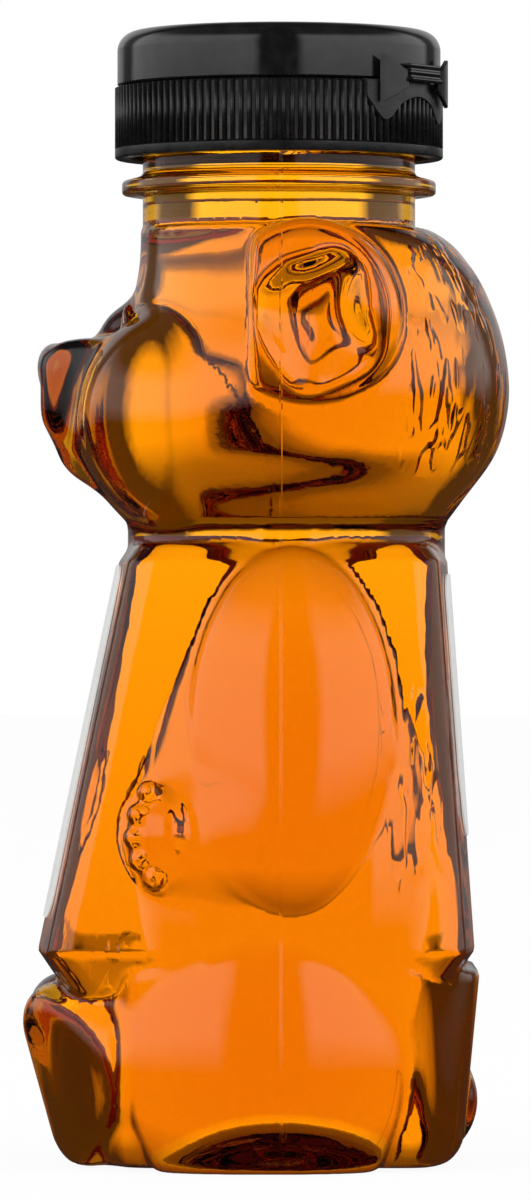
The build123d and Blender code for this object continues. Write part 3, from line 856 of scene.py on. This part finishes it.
def ribTree():
    tree = bpy.data.node_groups.new("ribsRoundTheSkirt", "GeometryNodeTree")
    sockets = {"Rib": "Geometry", "Count": "Int", "Radius": "Float", "Start": "Float", "Sweep": "Float",
               "Height": "Float", "Material": "Material"}
    for label, kind in sockets.items():
        tree.interface.new_socket(label, in_out="INPUT", socket_type="NodeSocket" + kind)
    tree.interface.new_socket("Ribs", in_out="OUTPUT", socket_type="NodeSocketGeometry")
    start, end = node(tree, "NodeGroupInput").outputs, node(tree, "NodeGroupOutput")
    arc, place, copies, real, paint = (node(tree, "GeometryNode" + kind) for kind in (
        "CurveArc", "InputPosition", "InstanceOnPoints", "RealizeInstances", "SetMaterial"))
    toPoints = node(tree, "GeometryNodeCurveToPoints", mode="EVALUATED")
    turn = node(tree, "FunctionNodeAlignEulerToVector", axis="X")
    tall = node(tree, "ShaderNodeCombineXYZ", X=1.0, Y=1.0)
    for source, target, key in (
            (start["Count"], arc, "Resolution"), (start["Radius"], arc, "Radius"),
            (start["Start"], arc, "Start Angle"), (start["Sweep"], arc, "Sweep Angle"),
            (start["Height"], tall, "Z"), (start["Material"], paint, "Material"),
            (start["Rib"], copies, "Instance"), (arc, toPoints, "Curve"), (toPoints, copies, "Points"),
            (place, turn, "Vector"), (turn, copies, "Rotation"), (tall, copies, "Scale"),
            (copies, real, "Geometry"), (real, paint, "Geometry"), (paint, end, "Ribs")):
        wire(source, target.inputs[key])
    return tree


ribs = ribTree()


def ribRow(name, count, startTurn, sweepTurn, height):
    # one rib a millimetre tall, stood round an arc at the skirt's root and stretched to its height
    tip, foot, deep = cap["ribHalfTip"], cap["ribHalfFoot"], cap["radius"] - cap["ribRoot"]
    back, wider = cap["ribRound"]
    near = [(-cap["ribSink"], -foot), (0.0, -foot), (deep - back, -tip - wider), (deep, -tip)]
    section = near + [(x, -y) for x, y in near[::-1]]
    points = [(x, y, z) for z in (0.0, 1.0) for x, y in section]
    faces = [face[::-1] for face in tubeFaces(len(section), 1)]
    maker = makePiece("ribMaker", points, faces, [skirtBlack])
    modifier = maker.modifiers.new("ribs", "NODES")
    modifier.node_group = ribs
    values = {"Count": count, "Radius": cap["ribRoot"] / 1000, "Start": radians(startTurn),
              "Sweep": radians(sweepTurn), "Height": height, "Material": skirtBlack}
    for item in ribs.interface.items_tree:
        if item.in_out == "INPUT" and item.name in values:
            modifier[item.identifier] = values[item.name]
    mesh = bpy.data.meshes.new_from_object(maker.evaluated_get(bpy.context.evaluated_depsgraph_get()))
    maker.modifiers.remove(modifier)
    bpy.data.objects.remove(maker)
    mesh.transform(Matrix.Translation((0, 0, (cap["foot"] + cap["band"]) / 1000)))
    return addObject(name, mesh)


pitch, short = 360 / cap["ribs"], cap["shortRibs"]
tallCount = cap["ribs"] - short
ribHeight = cap["deck"] - cap["foot"] - cap["band"] - cap["ribGap"]
tallRibs = ribRow("skirtRibs", tallCount, thumbTurn + pitch * (short + 1) / 2,
                  pitch * (tallCount - 1), ribHeight)
shortRibs = ribRow("recessRibs", short, thumbTurn - pitch * (short - 1) / 2,
                   pitch * (short - 1), ribHeight - cap["recessDrop"])
capThread = threadPiece("capThread", cap["bore"] + thread["bite"], thread["capTip"],
                        thread["foot"] + thread["pitch"] / 2, thread["capTurns"], skirtBlack)
for piece in (tallRibs, shortRibs, capThread):
    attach(piece, "cap")
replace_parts(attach(capSkirt, "cap"), "cap_base")
print("closure skirt ready")


hinge = {
    "axisReach": 21.1, "axisHeight": 130.975, "strapHalf": 3.3, "wingReach": 3.9, "wingRoot": 1.0,
    "wingTip": 2.9, "wingInner": 20.45, "wingOuter": 21.05, "padHalf": 8.6, "padOuter": 20.15,
    "padInner": 19.4, "padDepth": 4.9,
    # way along the pad and depth of its scalloped edge, as shares
    "padEdge": ((-1.0, 0.45), (-0.72, 1.0), (-0.36, 0.56), (0.0, 0.4), (0.36, 0.56), (0.72, 1.0),
                (1.0, 0.45)),
    "padDrop": 0.02, "padColumns": 49, "padRows": 6, "wingColumns": 25, "wingRows": 24, "bevel": 0.12,
    "bendHalf": 0.25,  # half the height over which the wings bend
}


def roundClosure(aside, height, reach):
    # a point at a distance aside along the hinge, on a cylinder of the given reach
    return atTurn(cap["hingeTurn"], sqrt(max(reach ** 2 - aside ** 2, 0)), aside, height)


def curvedSheet(name, columns, rows, inner, outer, material):
    # columns: (aside, lowest, highest); a sheet bowed round the closure with rounded long edges
    points, bevel = [], hinge["bevel"]
    for aside, low, high in columns:
        tall = high - low
        stops = [(outer - bevel, low), (outer, low + bevel)]
        stops += [(outer, low + tall * i / rows) for i in range(1, rows)]
        stops += [(outer, high - bevel), (outer - bevel, high), (inner + bevel, high), (inner, high - bevel)]
        stops += [(inner, high - tall * i / rows) for i in range(1, rows)]
        stops += [(inner, low + bevel), (inner + bevel, low)]
        points += [roundClosure(aside, z, reach) for reach, z in stops]
    return makePiece(name, points, tubeFaces(len(stops), len(columns) - 1), [material], sharp=40)


columns = []
for share in np.linspace(-1, 1, hinge["padColumns"]):
    drop = along(share, *np.array(hinge["padEdge"]).T) * hinge["padDepth"]
    columns.append((share * hinge["padHalf"], cap["deck"] - float(drop), cap["deck"] - hinge["padDrop"]))
pad = curvedSheet("hingePad", columns, hinge["padRows"], hinge["padInner"], hinge["padOuter"], skirtBlack)
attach(pad, "cap")

fold = hinge["axisHeight"]
for side, name, nodes in ((-1, "wingLeft", ("wing_lower_left", "wing_upper_left")),
                          (1, "wingRight", ("wing_lower_right", "wing_upper_right"))):
    near, far = side * hinge["strapHalf"], side * (hinge["strapHalf"] + hinge["wingReach"])
    columns = []
    for share in np.linspace(0, 1, hinge["wingColumns"]):
        tall = hinge["wingRoot"] + share * (hinge["wingTip"] - hinge["wingRoot"])
        columns.append((near + share * (far - near), fold - tall, fold + tall))
    wingPiece = curvedSheet(
        name, columns[::side], hinge["wingRows"], hinge["wingInner"], hinge["wingOuter"], lidBlack)
    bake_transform(wingPiece)
    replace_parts(wingPiece, *nodes)

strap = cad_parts["hinge_strap"]
strap.data.materials.clear()
strap.data.materials.append(strapBlack)

lid = {
    "radius": 19.7, "foot": 131.05, "top": 138.05, "edge": 2.4, "edgeTop": 137.65, "wall": 1.2, "roof": 136.45,
    "roofRound": 1.8, "plug": 2.1, "plugFoot": 133.2, "crownRows": (15.5, 14, 12, 9.5, 7, 4.5, 2),
    "ring": (5.2, 6.0), "ringDrop": 1.0,
}


def lidRows():
    # over the outside to the middle of the top, then back under the roof with its plug and ring
    radius, foot, top, roof = (lid[key] for key in ("radius", "foot", "top", "roof"))
    bore, flat, plug, plugFoot = radius - lid["wall"], radius - lid["edge"], lid["plug"], lid["plugFoot"]
    rows = [(bore, foot + 0.1), (bore + 0.1, foot), (radius - 0.15, foot), (radius, foot + 0.15)]
    rows += arcRows((flat, lid["edgeTop"] - lid["edge"]), lid["edge"], 0, 82, 14)
    rows += [(row, top - (top - lid["edgeTop"]) * (row / flat) ** 2) for row in lid["crownRows"]]
    rows += [(0, top), (0, plugFoot), (plug - 0.4, plugFoot), (plug - 0.1, plugFoot + 0.15)]
    rows += [(plug, plugFoot + 0.4), (plug, roof - 0.3), (plug + 0.4, roof)]
    near, far, ringFoot = *lid["ring"], roof - lid["ringDrop"]
    rows += [(near, roof), (near + 0.1, ringFoot), (far - 0.1, ringFoot), (far, roof), (flat, roof)]
    return rows + arcRows((flat, roof - lid["roofRound"]), lid["roofRound"], 80, 0, 8)


lidPiece = turnedPiece("flipLid", lidRows(), lidBlack, count=256)
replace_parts(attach(lidPiece, "lid"), "flip_lid")

tab = {
    "half": 5.5, "reach": 20.7, "from": 18.9, "foot": 131.07, "top": 132.5, "bow": 0.9, "bowPower": 6,
    "steps": 25,
}


def tabPoints():
    near, foot, top = tab["from"], tab["foot"], tab["top"]
    points = []
    for share in np.linspace(-1, 1, tab["steps"]):
        out = tab["reach"] - tab["bow"] * abs(share) ** tab["bowPower"]
        section = [(near, foot), (out - 0.3, foot), (out, foot + 0.3), (out, top - 0.5), (out - 0.4, top)]
        section.append((near, top + 0.1))
        points += [atTurn(thumbTurn, ahead, share * tab["half"], z) for ahead, z in section]
    return points


thumbTab = makePiece("thumbTab", tabPoints(), tubeFaces(6, tab["steps"] - 1), [lidBlack], sharp=35)
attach(thumbTab, "lid")
print("lid ready")


studio = {
    "ground": (0.93, 0.93, 0.93, 1.0), "groundRoughness": 0.9, "groundHalf": 6000.0, "groundOwnLight": 0.94,
    "cameraPlace": (1.0, -0.0017, 0.0635), "lens": 246.0, "sensor": 36.0, "shiftY": 0.0335,
    "daylight": (0.95, 0.95, 0.95, 1.0), "daylightStrength": 0.85,
    # angle from the photograph's camera as a share of a half turn, and brightness
    "mirror": ((0.0, 0.02), (0.07, 0.02), (0.10, 1.0), (0.70, 1.0), (0.735, 0.12), (0.80, 0.12), (0.84, 0.5),
               (1.0, 0.5)),
    "through": ((0.0, 0.5), (0.69, 0.5), (0.735, 0.055), (0.835, 0.055), (0.865, 1.0), (1.0, 1.0)),
    # rise of the direction, from straight down at 0 to straight up at 1
    "mirrorRise": ((0.0, 0.02), (0.465, 0.02), (0.57, 1.0), (0.75, 1.0), (0.85, 0.1), (1.0, 0.05)),
    "throughRise": ((0.0, 0.25), (0.2, 0.6), (0.35, 1.0), (0.555, 1.0), (0.62, 0.45), (0.72, 0.2),
                    (1.0, 0.15)),
    "strength": {"mirror": 1.15, "through": 1.9},
    "least": {"mirror": 0.02, "through": 0.08},
    # name: place, size and power in metres and watts
    "lamps": {"softLampFront": ((1.1, -0.9, 1.0), 0.8, 9.0), "softLampBack": ((0.6, 1.2, 1.1), 0.8, 6.0)},
    "lampsAim": (0, 0, 0.07),
    "bounces": {"max_bounces": 24, "transmission_bounces": 24, "glossy_bounces": 6},
}


def rampAt(tree, source, marks):
    ramp = node(tree, "ShaderNodeValToRGB")
    elements = ramp.color_ramp.elements
    for i, (place, value) in enumerate(marks):
        mark = elements[i] if i < 2 else elements.new(place)
        mark.position, mark.color = place, (value, value, value, 1.0)
    wire(source, ramp.inputs["Fac"])
    return ramp


def mixShaders(tree, share, first, second):
    mix = node(tree, "ShaderNodeMixShader")
    for value, socket in zip((share, first, second), mix.inputs):
        wire(value, socket)
    return mix


def backdropAt(tree, colour, strength):
    backdrop = node(tree, "ShaderNodeBackground", Strength=strength)
    wire(colour, backdrop.inputs["Color"])
    return backdrop


def makeWorld():
    # one backdrop for the camera, one for what the black parts mirror and one for what shows through
    world = scene.world = bpy.data.worlds.new("studio")
    world.use_nodes = True
    tree = world.node_tree
    tree.nodes.clear()
    axes = axesAt(tree, node(tree, "ShaderNodeTexCoord").outputs["Generated"])
    turn = mathAt(tree, "ABSOLUTE", mathAt(tree, "ARCTAN2", axes["Y"], axes["X"]))
    share, rise = mathAt(tree, "DIVIDE", turn, pi), spread(tree, axes["Z"], 0.0, 1.0, -1.0, 1.0)
    light = node(tree, "ShaderNodeLightPath").outputs
    last = backdropAt(tree, studio["daylight"], studio["daylightStrength"])
    for key, flag in (("mirror", "Is Glossy Ray"), ("through", "Is Transmission Ray")):
        around, upwards = rampAt(tree, share, studio[key]), rampAt(tree, rise, studio[key + "Rise"])
        both = mixAt(tree, "MULTIPLY", 1.0, around, upwards)
        colour = mixAt(tree, "LIGHTEN", 1.0, both, (studio["least"][key],) * 3 + (1.0,))
        last = mixShaders(tree, light[flag], last, backdropAt(tree, colour, studio["strength"][key]))
    last = mixShaders(tree, light["Is Camera Ray"], last, backdropAt(tree, white, 1.0))
    wire(last, node(tree, "ShaderNodeOutputWorld").inputs["Surface"])


def makeFloor():
    size = studio["groundHalf"]
    corners = [(-size, -size, 0), (size, -size, 0), (size, size, 0), (-size, size, 0)]
    material, tree, shader = newMaterial(
        "paleFloor", Base_Color=studio["ground"], Roughness=studio["groundRoughness"])
    glow = node(tree, "ShaderNodeEmission", Color=white, Strength=1.0)
    light = node(tree, "ShaderNodeLightPath").outputs
    seen = mathAt(tree, "MAXIMUM", light["Is Camera Ray"], light["Is Transmission Ray"])
    share = mathAt(tree, "MULTIPLY", seen, studio["groundOwnLight"])
    surface = mixShaders(tree, share, shader, glow)
    wire(surface, tree.nodes["Material Output"].inputs["Surface"])
    floor = makePiece("floor", corners, [[0, 1, 2, 3]], [material])
    floor.visible_glossy = floor.visible_transmission = False


def stand(thing, place, aim):
    thing.location = place
    thing.rotation_mode = "QUATERNION"
    thing.rotation_quaternion = (Vector(aim) - Vector(place)).to_track_quat("-Z", "Y")


def makeLamp(name, place, size, energy):
    data = bpy.data.lights.new(name, "AREA")
    data.shape, data.size, data.energy = "SQUARE", size, energy
    lamp = addObject(name, data)
    stand(lamp, place, studio["lampsAim"])
    lamp.visible_glossy = lamp.visible_transmission = False


def makeCamera():
    data = bpy.data.cameras.new("camera")
    data.lens, data.sensor_width, data.shift_y = studio["lens"], studio["sensor"], studio["shiftY"]
    camera = scene.camera = addObject("camera", data)
    across, aside, up = studio["cameraPlace"]
    stand(camera, (across, aside, up), (0, aside, up))


makeWorld()
makeFloor()
for name, (place, size, energy) in studio["lamps"].items():
    makeLamp(name, place, size, energy)
makeCamera()
scene.view_settings.view_transform = "Standard"
for key, value in studio["bounces"].items():
    setattr(scene.cycles, key, value)
print("studio ready")
